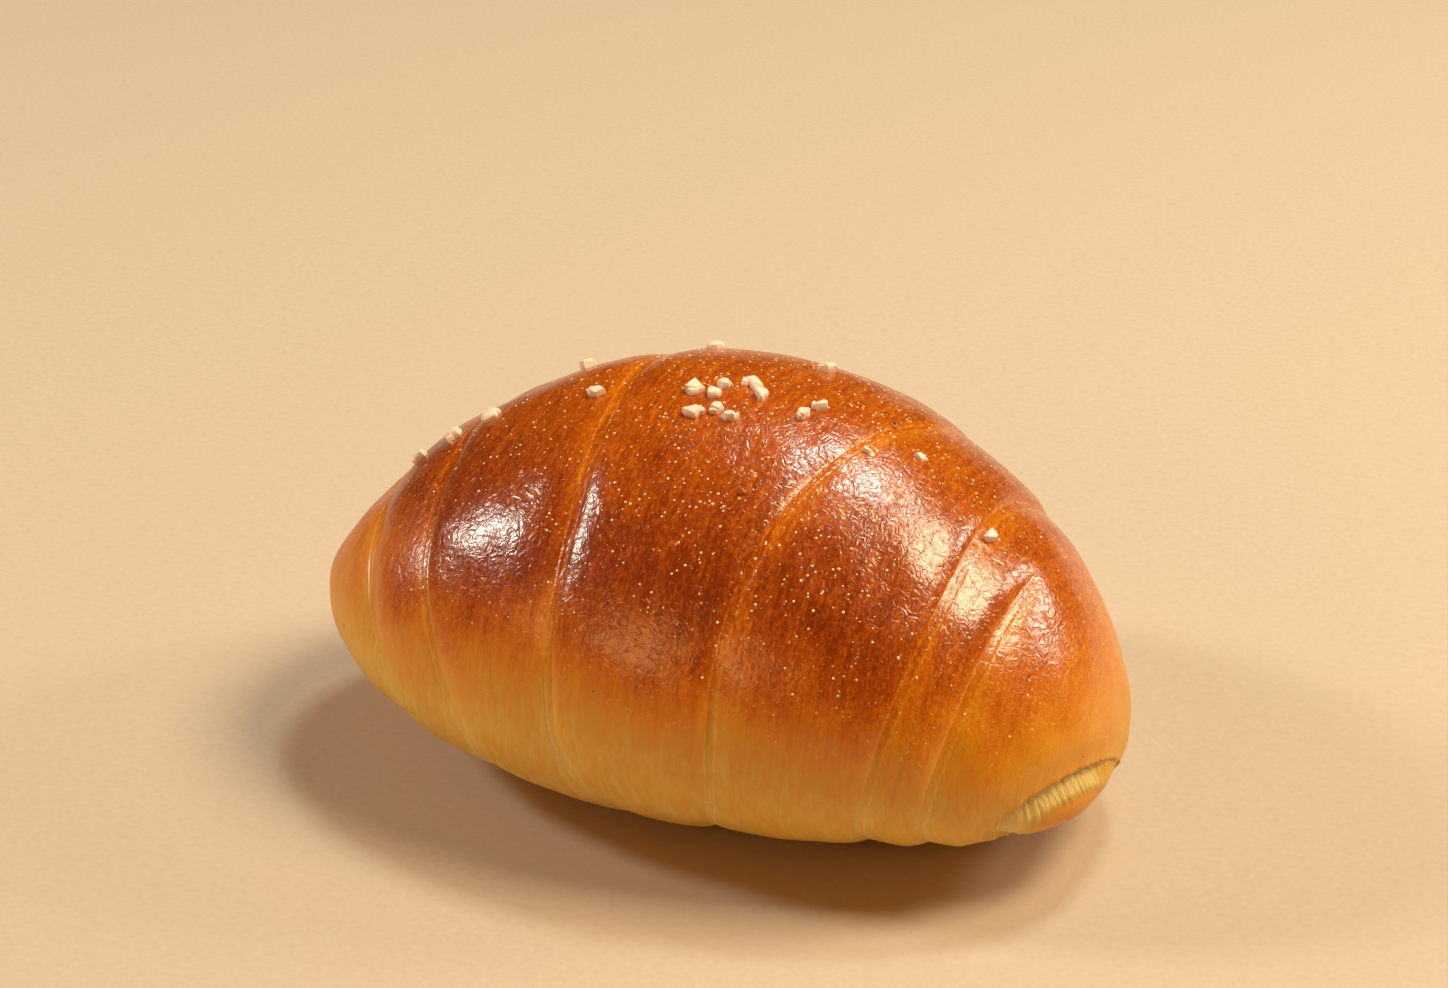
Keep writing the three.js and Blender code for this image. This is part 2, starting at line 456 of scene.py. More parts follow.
def torn_mask(points, lip):
    """1 on the torn strip and 0 off it, and the distance along the strip."""
    along = (points - torn_centre) @ torn_along
    across = smooth_step(*TORN_BEGINS, lip) * smooth_step(*TORN_ENDS, lip)
    return across * smooth_step(TORN_REACH + TORN_REACH_FADE, TORN_REACH, np.abs(along)), along


def strands(along, wavelength, seed):
    """Irregular ridges along one direction, between about -1 and 1."""
    draw = np.random.default_rng(seed)
    total = np.zeros_like(along)
    for _ in range(STRAND_WAVES):
        length = wavelength * draw.uniform(0.5, 1.5)
        total += np.sin(along * 2 * math.pi / length + draw.uniform(0, 2 * math.pi))
    return total / math.sqrt(STRAND_WAVES)


print("the strip's middle, mm:", np.round(torn_centre, 1))

# %% [markdown]
# ## The skin
# The skin is one grid of points, finer along the roll than around it because the creases run
# around. A coarse mesh with displacement would round the creases off; here each point starts on
# the smooth body and moves inward by its crease or lip depth. The same distances are kept as
# masks, so the crust material knows where the dough was folded, torn or pulled.

# %% Shape of the skin
STATIONS = 396
AROUND = 250
PULL_RADIUS = 34.0
PULL_ALONG = 0.8
EDGE_UNEVEN = 0.28
EDGE_UNEVEN_LENGTH = 18.0
SCALLOP = 0.35
SCALLOP_LENGTH = 2.4
RIM_WIDTH = 1.1
RIM_ENDS = (0.8, 0.0)
MASK_REACH = 12.0


def lip_opening(along):
    """1 where the lip stands open, falling to its closed share past one end of the torn strip."""
    open_share = smooth_step(TORN_REACH + LIP_CLOSING, TORN_REACH - LIP_OPENING, LIP_END * along)
    return LIP_CLOSED + (1 - LIP_CLOSED) * open_share


def skin_depth(base, crease, lip, torn, along):
    """How far each point lies inside the smooth body, in mm."""
    uneven_edge = 1 - EDGE_UNEVEN + EDGE_UNEVEN * gentle_waves(base, EDGE_UNEVEN_LENGTH, 3)
    depth = np.maximum(CREASE_DEPTH * crease * uneven_edge, lip_depth(lip) * lip_opening(along))
    depth = depth - SWELL * gentle_waves(base, SWELL_LENGTH, 5)
    depth = depth - RIPPLE * gentle_waves(base, RIPPLE_LENGTH, 8)
    return depth - torn * STRAND_HEIGHT * strands(along, STRAND_LENGTH, 21)


def skin_points(x, around):
    """Points of the finished skin, with the masks that the crust material reads."""
    base = envelope(x, around)
    crease, past_edge, edge_fade = wrap_edges(x, around)
    lip = past_lip(base)
    torn, along = torn_mask(base, lip)
    depth = skin_depth(base, crease, lip, torn, along)
    points = base - outward(x, around) * depth[..., None]
    rim = np.exp(-((np.minimum(lip, 0) / RIM_WIDTH) ** 2)) * smooth_step(*RIM_ENDS, lip)
    scallop = SCALLOP * strands(along, SCALLOP_LENGTH, 31) * rim**3
    overhang = LIP_OVERHANG * rim * lip_opening(along) * (1 + scallop)
    points = points + LIP_NORMAL * overhang[..., None]
    points[..., 2] = np.maximum(points[..., 2], 0)
    masks = {
        "past_edge": np.clip(past_edge, -MASK_REACH, MASK_REACH),
        "edge_fade": edge_fade,
        "past_lip": np.clip(lip, -MASK_REACH, MASK_REACH),
        "torn": torn,
        "along_lip": along,
        "pull_x": np.arcsin(np.clip(x / (LENGTH / 2), -1, 1)) * LENGTH / 2 * PULL_ALONG,
        "pull_y": np.sin(around) * PULL_RADIUS,
        "pull_z": -np.cos(around) * PULL_RADIUS,
    }
    return points, masks


crown_point, _ = skin_points(np.array([BULGE_X]), np.array([math.pi]))
print("the skin's crown, mm:", round(float(crown_point[0, 2]), 1), "on a grid of", STATIONS, "by", AROUND)

# %% [markdown]
# ## Building the skin
# The grid could be a modifier stack on a plain tube, but a mesh written point by point keeps the
# creases crisp and lets every point carry its masks. Two fans of triangles close the tips, and the
# whole skin is shifted so that its middle lies over the middle of the CAD roll.

# %% Build the skin
def build_skin():
    """The grid of points between two tip points, as a mesh with attributes."""
    stations = -LENGTH / 2 * np.cos(np.pi * np.arange(1, STATIONS) / STATIONS)
    turns = 2 * np.pi * np.arange(AROUND) / AROUND
    x, around = np.meshgrid(stations, turns, indexing="ij")
    points, masks = skin_points(x, around)
    vertices = np.concatenate([points[:1].mean(axis=1), points.reshape(-1, 3), points[-1:].mean(axis=1)])

    index = 1 + np.arange((STATIONS - 1) * AROUND).reshape(STATIONS - 1, AROUND)
    beside = np.roll(index, -1, axis=1)
    quads = np.stack([index[:-1], index[1:], beside[1:], beside[:-1]], axis=-1).reshape(-1, 4)
    last = len(vertices) - 1
    faces = [tuple(quad) for quad in quads.tolist()]
    faces += [(0, int(a), int(b)) for a, b in zip(index[0], beside[0])]
    faces += [(last, int(b), int(a)) for a, b in zip(index[-1], beside[-1])]

    middle = (vertices.min(axis=0) + vertices.max(axis=0)) / 2
    cad_middle = np.array((roll_low + roll_high) / 2) / MM
    shift = np.array([cad_middle[0] - middle[0], cad_middle[1] - middle[1], 0])
    mesh = bpy.data.meshes.new("baked_roll")
    mesh.from_pydata(((vertices + shift) * MM).tolist(), [], faces)
    for name, values in masks.items():
        layer = mesh.attributes.new(name, "FLOAT", "POINT")
        full = np.concatenate([[values[0].mean()], values.ravel(), [values[-1].mean()]])
        layer.data.foreach_set("value", full.astype(np.float32))
    mesh.polygons.foreach_set("use_smooth", [True] * len(mesh.polygons))
    mesh.update()
    return mesh, shift


skin_mesh, SKIN_SHIFT = build_skin()
baked_roll = bpy.data.objects.new("baked_roll", skin_mesh)
bpy.context.scene.collection.objects.link(baked_roll)
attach(baked_roll, "root")
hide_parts("bread_roll")
print("skin:", len(skin_mesh.vertices), "points, shifted by", np.round(SKIN_SHIFT, 2), "mm")

# %% [markdown]
# ## Oven browning
# Browning follows heat. The upper flanks face the oven and brown most, and the part by the tray lies
# in the shade of the roll's own bulge and stays pale gold. The very top and the right end are paler:
# partly they browned a little less, and partly it is painted light, a lighter colour for the strong
# light they catch. It could be painted on by hand, but then another roll would need new paint. One
# number from 0, raw dough, to 1, deep brown, is easier to shape than a colour, so a group works that
# number out and a colour ramp turns it into a crust colour at the very end.

# %% Browning group
BROWN_DRIFT = 14.0
BROWN_DRIFT_PER_MM = 0.05
CROWN_FROM = 40.0
CROWN_TO = 60.0
CROWN_PALING_AND_LIGHT = 0.17
BROWN_STEEPNESS = 1.3
LEFT_TIP_POWER = 6.0
RIGHT_TIP_POWER = 2.0


def browning_group():
    """Puts out the browning from the height over the tray, in mm, and patches of more or less heat."""
    tree, given, result = new_group(
        "oven_browning",
        [
            ("Place", "NodeSocketVector", None),
            ("Height", "NodeSocketFloat", 0.0),
            ("Raw Below", "NodeSocketFloat", 13.0),
            ("Brown Above", "NodeSocketFloat", 46.0),
            ("Least", "NodeSocketFloat", 0.15),
            ("Lean", "NodeSocketFloat", 0.15),
            ("Tip Paling And Light", "NodeSocketFloat", 0.32),
            ("Left Tip", "NodeSocketFloat", 0.22),
            ("Patch Size", "NodeSocketFloat", 9.0),
            ("Patchiness", "NodeSocketFloat", 0.16),
        ],
        [("Browning", "NodeSocketFloat"), ("Exposure", "NodeSocketFloat")],
    )
    ask = given.outputs
    place = ask["Place"]
    drift = add_node(
        tree, "ShaderNodeTexNoise", {"Vector": place, "Scale": BROWN_DRIFT_PER_MM, "Detail": 3.0}
    ).outputs[0]
    drift_mm = maths(tree, "MULTIPLY_ADD", drift, BROWN_DRIFT, -BROWN_DRIFT / 2)
    along = add_node(tree, "ShaderNodeSeparateXYZ", {"Vector": place}).outputs["X"]
    rightward = maths(tree, "MAXIMUM", along, 0.0)
    leaning = maths(tree, "MULTIPLY_ADD", rightward, ask["Lean"], ask["Height"])
    height = maths(tree, "ADD", leaning, drift_mm)
    rise = ramp_up(tree, height, ask["Raw Below"], ask["Brown Above"])
    steep = maths(tree, "POWER", rise, BROWN_STEEPNESS)
    spread = maths(tree, "SUBTRACT", 1.0, ask["Least"])
    heated = maths(tree, "MULTIPLY_ADD", steep, spread, ask["Least"])

    # The very top pales a little: partly less browning, partly painted light for the lamps on the crown.
    crown = ramp_up(tree, ask["Height"], CROWN_FROM, CROWN_TO, CROWN_PALING_AND_LIGHT)
    leftward = maths(tree, "DIVIDE", maths(tree, "MINIMUM", along, 0.0), -LENGTH / 2)
    left_tip = maths(tree, "MULTIPLY", maths(tree, "POWER", leftward, LEFT_TIP_POWER), ask["Left Tip"])
    # The right end pales where it rises: partly less browning, partly painted light standing in for its
    # highlight.
    to_right_tip = maths(tree, "DIVIDE", rightward, LENGTH / 2)
    exposed_right = maths(tree, "POWER", maths(tree, "MULTIPLY", to_right_tip, rise), RIGHT_TIP_POWER)
    right_paling_and_light = maths(tree, "MULTIPLY", exposed_right, ask["Tip Paling And Light"])
    shaded = maths(tree, "SUBTRACT", maths(tree, "ADD", crown, right_paling_and_light), left_tip)

    patch_scale = maths(tree, "DIVIDE", 1.0, ask["Patch Size"])
    patch = add_node(tree, "ShaderNodeTexNoise", {"Vector": place, "Scale": patch_scale, "Detail": 4.0})
    patch_swing = maths(tree, "SUBTRACT", patch.outputs[0], 0.5)
    patch_heat = maths(tree, "MULTIPLY", patch_swing, ask["Patchiness"])
    browned = maths(tree, "ADD", maths(tree, "SUBTRACT", heated, shaded), patch_heat)
    tree.links.new(browned, result.inputs["Browning"])
    tree.links.new(rise, result.inputs["Exposure"])
    return tree


oven_browning = browning_group()
print("group", oven_browning.name, "has", len(oven_browning.nodes), "nodes")

# %% [markdown]
# ## Pin blisters
# Three small marks make dough look like dough: pin blisters, pulled streaks and a wrinkled wash.
# Each is a group with its sizes in millimetres, so that any baked thing can use it. Pin blisters
# are gas bubbles under the egg wash, pale dots about a third of a millimetre wide. Thousands of
# tiny bodies would be slow. One dot in each cell of a Voronoi pattern looks the same, and the
# cell's own random colour says whether it has a dot and how large.

# %% Pin blister group
DOT_SIZE_SWING = 0.8
DOT_SIZE_LEAST = 0.6


def pin_blister_group():
    """Puts out a mask of small round dots of uneven size; some places have none."""
    tree, given, result = new_group(
        "pin_blisters",
        [
            ("Place", "NodeSocketVector", None),
            ("Spacing", "NodeSocketFloat", 1.15),
            ("Dot Radius", "NodeSocketFloat", 0.15),
            ("Share", "NodeSocketFloat", 0.7),
        ],
        [("Dots", "NodeSocketFloat")],
    )
    scale = maths(tree, "DIVIDE", 1.0, given.outputs["Spacing"])
    cells = add_node(tree, "ShaderNodeTexVoronoi", {"Vector": given.outputs["Place"], "Scale": scale})
    distance = maths(tree, "MULTIPLY", cells.outputs["Distance"], given.outputs["Spacing"])
    lot = add_node(tree, "ShaderNodeSeparateColor", {"Color": cells.outputs["Color"]})
    present = maths(tree, "LESS_THAN", lot.outputs["Red"], given.outputs["Share"])
    size_share = maths(tree, "MULTIPLY_ADD", lot.outputs["Green"], DOT_SIZE_SWING, DOT_SIZE_LEAST)
    radius = maths(tree, "MULTIPLY", given.outputs["Dot Radius"], size_share)
    inside = maths(tree, "SUBTRACT", 1.0, maths(tree, "DIVIDE", distance, radius), clamp=True)
    dots = maths(tree, "MULTIPLY", maths(tree, "SQRT", inside), present)
    tree.links.new(dots, result.inputs["Dots"])
    return tree


pin_blisters = pin_blister_group()
print("group", pin_blisters.name, "has", len(pin_blisters.nodes), "nodes")

# %% [markdown]
# ## Pulled streaks
# Rolling the dough up stretched its skin, so its bubbles and folds became streaks that run around
# the roll. A painted map would need a flat layout of the skin; noise squeezed in two directions
# does the same without one. It reads even, tube-like places that are stored on the skin.

# %% Pulled streak group
def pulled_streak_group():
    """Puts out streaks that run around the roll, a few times longer than they are wide."""
    tree, given, result = new_group(
        "pulled_streaks",
        [
            ("Pull", "NodeSocketVector", None),
            ("Width", "NodeSocketFloat", 0.5),
            ("Stretch", "NodeSocketFloat", 6.0),
        ],
        [("Streaks", "NodeSocketFloat")],
    )
    squeeze = maths(tree, "DIVIDE", 1.0, given.outputs["Stretch"])
    factors = add_node(tree, "ShaderNodeCombineXYZ", {"X": 1.0, "Y": squeeze, "Z": squeeze}).outputs[0]
    place = add_node(
        tree, "ShaderNodeVectorMath", {0: given.outputs["Pull"], 1: factors}, operation="MULTIPLY"
    ).outputs[0]
    scale = maths(tree, "DIVIDE", 1.0, given.outputs["Width"])
    noise = add_node(
        tree, "ShaderNodeTexNoise",
        {"Vector": place, "Scale": scale, "Detail": 3.0, "Roughness": 0.6, "Distortion": 0.4},
    )
    tree.links.new(noise.outputs[0], result.inputs["Streaks"])
    return tree


pulled_streaks = pulled_streak_group()
print("group", pulled_streaks.name, "has", len(pulled_streaks.nodes), "nodes")

# %% [markdown]
# ## Wrinkled wash
# Egg wash dries as a film that shrinks into fine winding wrinkles, which break up a reflection.
# Real wrinkles are far too many to model. Noise folded at its middle value gives a net of thin
# winding crests, which a bump can raise.

# %% Wrinkled wash group
WRINKLE_FOLD = (4.0, -2.0)


def wrinkled_wash_group():
    """Puts out the height of fine winding wrinkles, from 0 to 1."""
    tree, given, result = new_group(
        "wrinkled_wash",
        [("Place", "NodeSocketVector", None), ("Width", "NodeSocketFloat", 0.7)],
        [("Wrinkles", "NodeSocketFloat")],
    )
    scale = maths(tree, "DIVIDE", 1.0, given.outputs["Width"])
    noise = add_node(
        tree, "ShaderNodeTexNoise",
        {"Vector": given.outputs["Place"], "Scale": scale, "Detail": 2.0, "Distortion": 0.7},
    ).outputs[0]
    folded = maths(tree, "ABSOLUTE", maths(tree, "MULTIPLY_ADD", noise, *WRINKLE_FOLD))
    tree.links.new(maths(tree, "SUBTRACT", 1.0, folded, clamp=True), result.inputs["Wrinkles"])
    return tree


wrinkled_wash = wrinkled_wash_group()
print("group", wrinkled_wash.name, "has", len(wrinkled_wash.nodes), "nodes")

# %% [markdown]
# ## Crust helpers
# Every mask of the crust is a number on the skin: distance past a dough edge, a share of torn
# crumb, a place in millimetres. Three helpers read the stored numbers, turn a distance into a soft
# band, and give the place in millimetres, so that every size in the crust can be a real one.

# %% Crust helpers
BAND_SOFTNESS = 0.1


def band(tree, value, middle, width):
    """1 where a value is at the middle, falling to 0 at a width either side, as a smooth hump."""
    offset = maths(tree, "DIVIDE", maths(tree, "SUBTRACT", value, middle), width)
    near = maths(tree, "SUBTRACT", 1.0, maths(tree, "ABSOLUTE", offset), clamp=True)
    return maths(tree, "SMOOTH_MIN", near, 1.0, BAND_SOFTNESS)


def mesh_value(tree, name):
    return add_node(tree, "ShaderNodeAttribute", attribute_name=name).outputs["Fac"]


def place_in_mm(tree):
    place = add_node(tree, "ShaderNodeTexCoord").outputs["Object"]
    return add_node(tree, "ShaderNodeVectorMath", {0: place, "Scale": 1 / MM}, operation="SCALE").outputs[0]


print("masks stored on the skin:", [a.name for a in skin_mesh.attributes if a.data_type == "FLOAT"])

# %% [markdown]
# ## Crust colours
# Sugar and egg brown in a fixed order: cream, gold, orange, amber, dark brown. A colour ramp holds
# that order, so all the rest of the material only has to say how brown each place is.

# %% Crust colours
BROWNING_COLOURS = (
    (0.00, (0.86, 0.60, 0.20)),
    (0.15, (0.77, 0.46, 0.07)),
    (0.32, (0.74, 0.335, 0.012)),
    (0.50, (0.74, 0.245, 0.004)),
    (0.69, (0.62, 0.140, 0.001)),
    (0.83, (0.44, 0.072, 0.0006)),
    (1.00, (0.24, 0.026, 0.0004)),
)
PIN_BLISTER_COLOUR = (0.92, 0.60, 0.25, 1)
# The pin holes' near black is painted shade inside the tiny holes.
PIN_HOLE_SHADE_COLOUR = (0.10, 0.012, 0.002, 1)


def browning_ramp(tree, browning):
    """A colour ramp from raw dough to deep brown."""
    ramp = add_node(tree, "ShaderNodeValToRGB", {"Fac": browning})
    elements = ramp.color_ramp.elements
    while len(elements) < len(BROWNING_COLOURS):
        elements.new(0.5)
    for element, (position, colour) in zip(elements, BROWNING_COLOURS):
        element.position = position
        element.color = (*colour, 1)
    return ramp.outputs["Color"]


print("browning runs through", len(BROWNING_COLOURS), "colours")

# %% [markdown]
# ## Crust marks
# All the masks are made once and named here, because colour, relief and gloss read the same ones:
# a pin blister is pale and stands up at the same spot.

# %% Crust marks
LONG_STREAK = {"Width": 0.8, "Stretch": 7.0}
SHORT_STREAK = {"Width": 0.36, "Stretch": 2.2}
FINE_DOTS = {"Spacing": 0.75, "Dot Radius": 0.12, "Share": 0.5}
PIN_HOLES = {"Spacing": 9.0, "Dot Radius": 0.3, "Share": 0.8}
STUCK_LINE = (0.0, 0.25)
FREED_LINE = (1.2, 0.28)
COVERED_BAND = (1.4, 3.0)


def crust_marks(tree):
    """Every mask that the crust uses, by name."""
    place = place_in_mm(tree)
    height = add_node(tree, "ShaderNodeSeparateXYZ", {"Vector": place}).outputs["Z"]
    pull = add_node(
        tree, "ShaderNodeCombineXYZ",
        {"X": mesh_value(tree, "pull_x"), "Y": mesh_value(tree, "pull_y"), "Z": mesh_value(tree, "pull_z")},
    ).outputs[0]
    past_edge = mesh_value(tree, "past_edge")
    oven = use_group(tree, oven_browning, {"Place": place, "Height": height})
    stuck, freed = band(tree, past_edge, *STUCK_LINE), band(tree, past_edge, *FREED_LINE)
    return {
        "place": place,
        "browning": oven.outputs["Browning"],
        "exposure": oven.outputs["Exposure"],
        "torn": mesh_value(tree, "torn"),
        "past lip": mesh_value(tree, "past_lip"),
        "edge fade": mesh_value(tree, "edge_fade"),
        "covered": band(tree, past_edge, *COVERED_BAND),
        "lines": maths(tree, "MAXIMUM", stuck, freed),
        "long streaks": use_group(tree, pulled_streaks, {"Pull": pull, **LONG_STREAK}).outputs[0],
        "short streaks": use_group(tree, pulled_streaks, {"Pull": pull, **SHORT_STREAK}).outputs[0],
        "dots": use_group(tree, pin_blisters, {"Place": place}).outputs[0],
        "fine dots": use_group(tree, pin_blisters, {"Place": place, **FINE_DOTS}).outputs[0],
        "holes": use_group(tree, pin_blisters, {"Place": place, **PIN_HOLES}).outputs[0],
    }


print("long streaks, mm:", LONG_STREAK["Width"], "wide; covered band, mm:", COVERED_BAND[1], "either side")

# %% [markdown]
# ## Crust browning and colour
# Dough that a wrap covered in the first minutes of baking stays paler, so a band past each edge
# loses browning, with two thin beaded lines where the edge stuck and let go. The torn strip is
# bare crumb: no wash, no browning. Paint would tie these to one mesh; here they follow the
# distances stored on the skin.

# %% Crust browning and colour
COVERED_PALING = 0.12
BEAD_PALING = 0.26
BEAD_CONTRAST = (2.4, -0.7)
EDGE_BY_EXPOSURE = (0.4, 0.6)
DOTS_BY_EXPOSURE = (0.6, 0.25)
STREAK_HEAT = 0.42
SPECK_HEAT = -0.7
SPECK_LEAST = -0.06
CORE_FROM = 2.0
CORE_TO = 3.4
CORE_HEAT = 0.16
FINE_DOT_SHARE = 0.6
PIN_HOLE_SHADE_SHARE = 0.9


def crust_browning(tree, marks):
    """The oven's browning, less what the wraps covered, with streaks, specks and the core."""
    exposure, short_streaks = marks["exposure"], marks["short streaks"]
    beaded = maths(tree, "MULTIPLY_ADD", short_streaks, *BEAD_CONTRAST, clamp=True)
    beads = maths(tree, "MULTIPLY", marks["lines"], beaded)
    covered = maths(tree, "MULTIPLY", marks["covered"], COVERED_PALING)
    paler = maths(tree, "MULTIPLY_ADD", beads, BEAD_PALING, covered)
    browned = maths(tree, "MULTIPLY_ADD", exposure, *EDGE_BY_EXPOSURE)
    seen = maths(tree, "MULTIPLY", marks["edge fade"], browned)
    streak_heat = maths(tree, "MULTIPLY_ADD", marks["long streaks"], STREAK_HEAT, -STREAK_HEAT / 2)
    speck = maths(tree, "MAXIMUM", maths(tree, "SUBTRACT", short_streaks, 0.5), SPECK_LEAST)
    speck_heat = maths(tree, "MULTIPLY", maths(tree, "MULTIPLY", speck, SPECK_HEAT), exposure)
    browning = maths(tree, "ADD", marks["browning"], maths(tree, "ADD", streak_heat, speck_heat))
    browning = maths(tree, "SUBTRACT", browning, maths(tree, "MULTIPLY", paler, seen))
    washed = maths(tree, "SUBTRACT", 1.0, marks["torn"])
    browning = maths(tree, "MULTIPLY", browning, washed, clamp=True)
    core = add_node(
        tree, "ShaderNodeMapRange", {"Value": marks["past lip"], "From Min": CORE_FROM, "From Max": CORE_TO}
    ).outputs[0]
    return maths(tree, "MULTIPLY_ADD", core, CORE_HEAT, browning)


def crust_colour(tree, marks):
    """The browning as a colour, with pale pin blisters and painted shade in a few pin holes."""
    colour = browning_ramp(tree, crust_browning(tree, marks))
    fine_dots = maths(tree, "MULTIPLY", marks["fine dots"], FINE_DOT_SHARE)
    blistered = maths(tree, "MAXIMUM", marks["dots"], fine_dots)
    shown = maths(tree, "MULTIPLY_ADD", marks["exposure"], *DOTS_BY_EXPOSURE)
    colour = blend_colour(tree, maths(tree, "MULTIPLY", blistered, shown), colour, PIN_BLISTER_COLOUR)
    # The pin holes' dark colour is painted shade in the holes; the relief dents them too.
    hole_shade_share = maths(tree, "MULTIPLY", marks["holes"], PIN_HOLE_SHADE_SHARE)
    return blend_colour(tree, hole_shade_share, colour, PIN_HOLE_SHADE_COLOUR)


print("a covered band loses", COVERED_PALING, "of browning, its beads", BEAD_PALING)

# %% [markdown]
# ## Crust relief
# Wrinkles, streaks and dots are a few hundredths of a millimetre high, pin holes and torn fibres a
# little more. Geometry that fine would need millions of faces, so all of it is one height in
# millimetres that a bump turns into light and shade. The wrap edges, the lip and the torn strands
# are real geometry in the skin above.

# %% Crust relief
RELIEF_MM = {
    "wrinkles": 0.05, "short streaks": 0.016, "long streaks": 0.035, "dots": 0.07, "lines": -0.06,
    "holes": -0.15, "fibres": 0.7,
}
WRINKLE_WIDTH = 1.5
FIBRE_SQUEEZE = 0.16
FIBRES_PER_MM = 2.2


def crust_relief(tree, marks):
    """The height, in mm, of everything that is too fine for the skin's grid."""
    wrinkles = use_group(tree, wrinkled_wash, {"Place": marks["place"], "Width": WRINKLE_WIDTH}).outputs[0]
    across = maths(tree, "MULTIPLY", marks["past lip"], FIBRE_SQUEEZE)
    fibre_place = add_node(
        tree, "ShaderNodeCombineXYZ", {"X": mesh_value(tree, "along_lip"), "Y": across}
    ).outputs[0]
    fibres = add_node(
        tree, "ShaderNodeTexNoise",
        {"Vector": fibre_place, "Scale": FIBRES_PER_MM, "Detail": 3.0, "Distortion": 0.3},
    ).outputs[0]
    heights = {
        **marks,
        "wrinkles": maths(tree, "MULTIPLY", wrinkles, marks["exposure"]),
        "lines": maths(tree, "MULTIPLY", marks["lines"], marks["edge fade"]),
        "fibres": maths(tree, "MULTIPLY", fibres, marks["torn"]),
    }
    relief = 0.0
    for name, millimetres in RELIEF_MM.items():
        relief = maths(tree, "MULTIPLY_ADD", heights[name], millimetres, relief)
    return relief


print("relief, mm:", RELIEF_MM)

# %% [markdown]
# ## Crust material
# Egg wash dries into a glossy skin. So the wash is mainly a smoother surface where the
# oven browned it, with only a thin clear coat: a thick one would look like varnish and would hide
# the wrinkles. A little light goes under the surface, as it does in dough.

# %% Crust material
DOUGH_ROUGHNESS = 0.46
STREAK_ROUGHNESS = 0.1
WASH_SMOOTHING = -0.29
WASH_COAT = 0.1


def crust_material():
    material, tree, shader = new_material("egg_washed_crust")
    marks = crust_marks(tree)
    tree.links.new(crust_colour(tree, marks), shader.inputs["Base Color"])
    relief = crust_relief(tree, marks)
    bump = add_node(tree, "ShaderNodeBump", {"Height": relief, "Strength": 1.0, "Distance": MM})
    tree.links.new(bump.outputs[0], shader.inputs["Normal"])

    gloss = maths(tree, "MULTIPLY", marks["exposure"], maths(tree, "SUBTRACT", 1.0, marks["torn"]))
    dull = maths(tree, "MULTIPLY_ADD", marks["short streaks"], STREAK_ROUGHNESS, DOUGH_ROUGHNESS)
    roughness = maths(tree, "MULTIPLY_ADD", gloss, WASH_SMOOTHING, dull)
    tree.links.new(roughness, shader.inputs["Roughness"])
    tree.links.new(maths(tree, "MULTIPLY", gloss, WASH_COAT), shader.inputs["Coat Weight"])
    shader.inputs["Coat Roughness"].default_value = 0.25
    shader.inputs["Specular IOR Level"].default_value = 0.7
    shader.inputs["Subsurface Weight"].default_value = 0.1
    shader.inputs["Subsurface Radius"].default_value = (1.0, 0.35, 0.12)
    shader.inputs["Subsurface Scale"].default_value = 2.0 * MM
    return material


crust = crust_material()
skin_mesh.materials.append(crust)
print("crust material:", len(crust.node_tree.nodes), "nodes")

# %% [markdown]
# ## Blisters
# Where a larger gas bubble sat just under the egg wash, the oven blew it up into a little glossy
# dome. Most are too small for the skin's own grid, so each dome is a low cap set into the skin.
# Caps of a few faces keep a thousand of them cheap. One grew to more than a millimetre, and one
# burst and left a ring; both took the crust's colour.

# %% Blister shapes
RING_THICKNESS = 0.34
DOME_DROP = 0.63
DOME_FOOT = -0.4
skin_surface = BVHTree.FromPolygons(
    [v.co for v in skin_mesh.vertices], [tuple(p.vertices) for p in skin_mesh.polygons]
)


def skin_spot(station, degrees):
    """The point of the skin at a station and a turn, and the direction out of the skin there."""
    base = envelope(np.array(station), np.array(math.radians(degrees))) + SKIN_SHIFT
    spot, up, _, _ = skin_surface.find_nearest(Vector(base) * MM)
    return spot, up


def dome_shape(around=10, rows=5):
    """Corners and faces of a low closed cap with radius 1 and height 1."""
    corners = [(0, 0, 1.0)]
    for row in range(1, rows):
        drop = math.pi * DOME_DROP * row / (rows - 1)
        for i in range(around):
            a = 2 * math.pi * i / around
            corners.append((math.sin(drop) * math.cos(a), math.sin(drop) * math.sin(a), math.cos(drop)))
    corners.append((0, 0, DOME_FOOT))
    faces = [(0, 1 + i, 1 + (i + 1) % around) for i in range(around)]
    for row in range(rows - 2):
        first = 1 + row * around
        for i in range(around):
            j = (i + 1) % around
            faces.append((first + i, first + around + i, first + around + j, first + j))
    first, foot = 1 + (rows - 2) * around, len(corners) - 1
    faces += [(foot, first + (i + 1) % around, first + i) for i in range(around)]
    return corners, faces


def ring_shape(thickness, around=20, section=8):
    """Corners and faces of the rim that a burst blister leaves, with radius 1."""
    corners, faces = [], []
    for i in range(around):
        a = 2 * math.pi * i / around
        for j in range(section):
            b = 2 * math.pi * j / section
            reach = 1 + thickness * math.cos(b)
            corners.append((math.cos(a) * reach, math.sin(a) * reach, thickness * math.sin(b)))
            near, far = i * section, (i + 1) % around * section
            faces.append((near + j, far + j, far + (j + 1) % section, near + (j + 1) % section))
    return corners, faces


def set_on_skin(shape, station, degrees, radius, rise):
    """A shape's corners, in metres, scaled and set on the skin, facing out of it."""
    spot, up = skin_spot(station, degrees)
    turn = np.array(up.to_track_quat("Z", "Y").to_matrix())
    sized = np.array(shape) * (radius, radius, radius * rise) * MM
    return sized @ turn.T + np.array(spot)


print("one dome has", len(dome_shape()[1]), "faces, the ring", len(ring_shape(RING_THICKNESS)[1]))

# %% [markdown]
# ## Setting the blisters
# The blisters sit mostly on the front and the crown, so their places are drawn from triangular
# chances with a fixed seed. They could be instances of one small object, but written into one mesh
# they are a single piece that rides on the roll.

